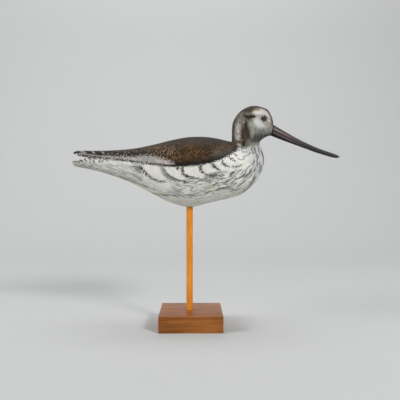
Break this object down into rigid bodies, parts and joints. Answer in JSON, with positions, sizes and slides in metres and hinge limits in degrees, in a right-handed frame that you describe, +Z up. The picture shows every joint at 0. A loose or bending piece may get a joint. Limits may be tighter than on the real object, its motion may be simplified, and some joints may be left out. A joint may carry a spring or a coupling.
{
  "type": "carved wooden shorebird figurine on a rod and block",
  "caption": "Long-billed wading bird carved in wood and painted, with folded wings, glass eyes and a separate bill, standing on a round rod let into a square wooden block.",
  "frame": {"origin": "middle of the block's underside, which the figurine stands on", "axes": "+Z up, +X the way the bird faces, +Y to the bird's left"},
  "size_m": [0.3843, 0.089, 0.3166],
  "materials": {
    "block_wood": "oiled hardwood with satin varnish",
    "rod_wood": "varnished hardwood dowel",
    "painted_plumage": "artist's paint on carved wood, satin",
    "painted_bill": "satin paint on carved wood",
    "glass_eye": "polished dark brown glass"
  },
  "bodies": {
    "root": {"block": "block_wood", "rod": "rod_wood", "bird": "painted_plumage", "bill": "painted_bill", "eye_left": "glass_eye", "eye_right": "glass_eye"}
  },
  "joints": []
}
